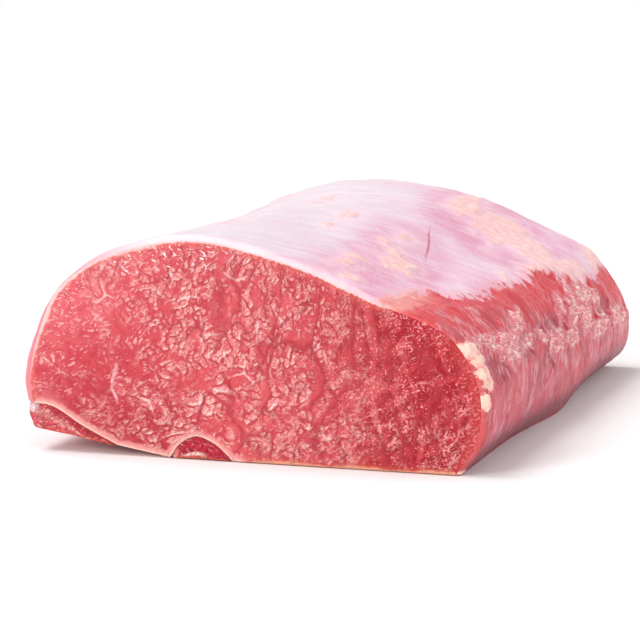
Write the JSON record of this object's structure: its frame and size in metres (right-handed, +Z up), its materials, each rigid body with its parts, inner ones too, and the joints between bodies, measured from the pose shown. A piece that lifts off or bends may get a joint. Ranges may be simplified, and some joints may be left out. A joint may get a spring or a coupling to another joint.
{
  "type": "boneless pork loin",
  "caption": "Raw boneless pork loin roast cut square at both ends, with a silverskin back and a flat underside to rest on.",
  "frame": {"origin": "centre of the roast's box, at the height of the flat underside it rests on", "axes": "+Y along the roast from the near cut to the far cut, +Z up, +X towards the thin bare side"},
  "size_m": [0.151, 0.2032, 0.0674],
  "materials": {
    "lean": "raw pork muscle, moist, coral pink to crimson, with a pale lilac silverskin over the back",
    "dark_lean": "raw dark red rib muscle, moist, with a pale membrane",
    "deep_lean": "raw deep crimson muscle, moist, with a cream fat rim"
  },
  "bodies": {
    "root": {"loin": "lean", "finger_strip_edge": "dark_lean", "finger_strip_middle": "deep_lean"}
  },
  "joints": []
}
